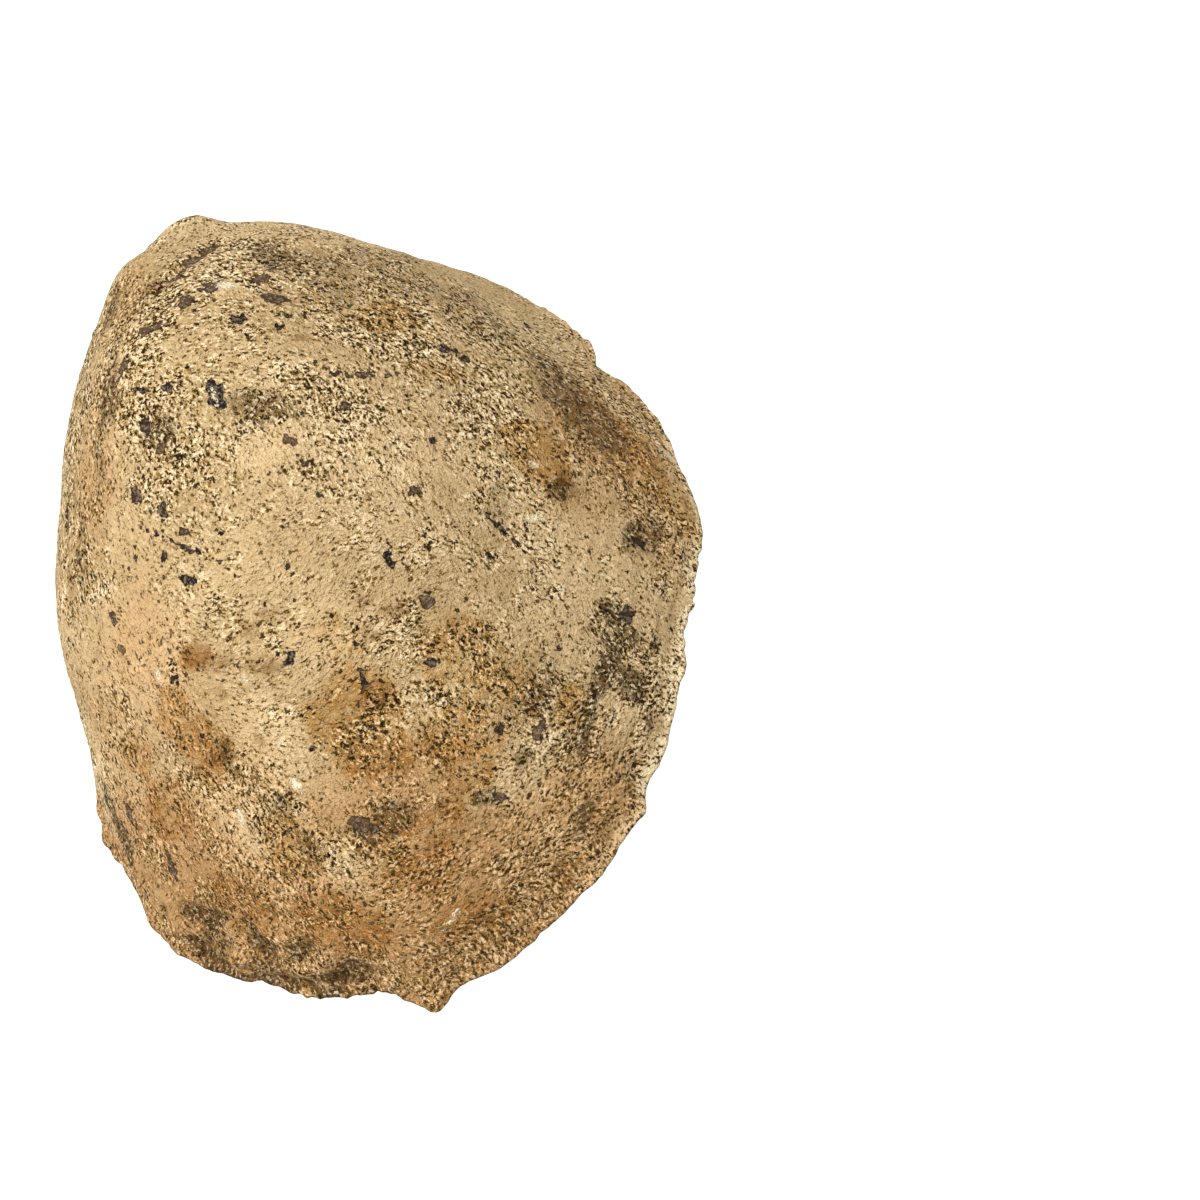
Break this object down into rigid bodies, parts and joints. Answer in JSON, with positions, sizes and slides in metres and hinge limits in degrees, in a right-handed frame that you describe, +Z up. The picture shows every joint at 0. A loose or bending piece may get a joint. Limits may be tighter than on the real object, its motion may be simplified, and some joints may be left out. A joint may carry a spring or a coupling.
{
  "type": "fossil clam shell",
  "caption": "Single thick domed valve of a fossil clam, worn at the beak and chipped at the margin, lying dome up on its rim.",
  "frame": {"origin": "middle of the bounding box, on the surface that the rim rests on", "axes": "+Z up through the dome, +Y from the middle of the outer margin towards the beak and hinge, +X to the shorter, front end"},
  "size_m": [0.092, 0.1072, 0.0422],
  "materials": {
    "fossil_shell": "matte, chalky and pitted, cream and tan with brown and grey stains"
  },
  "bodies": {
    "root": {"valve": "fossil_shell"}
  },
  "joints": []
}
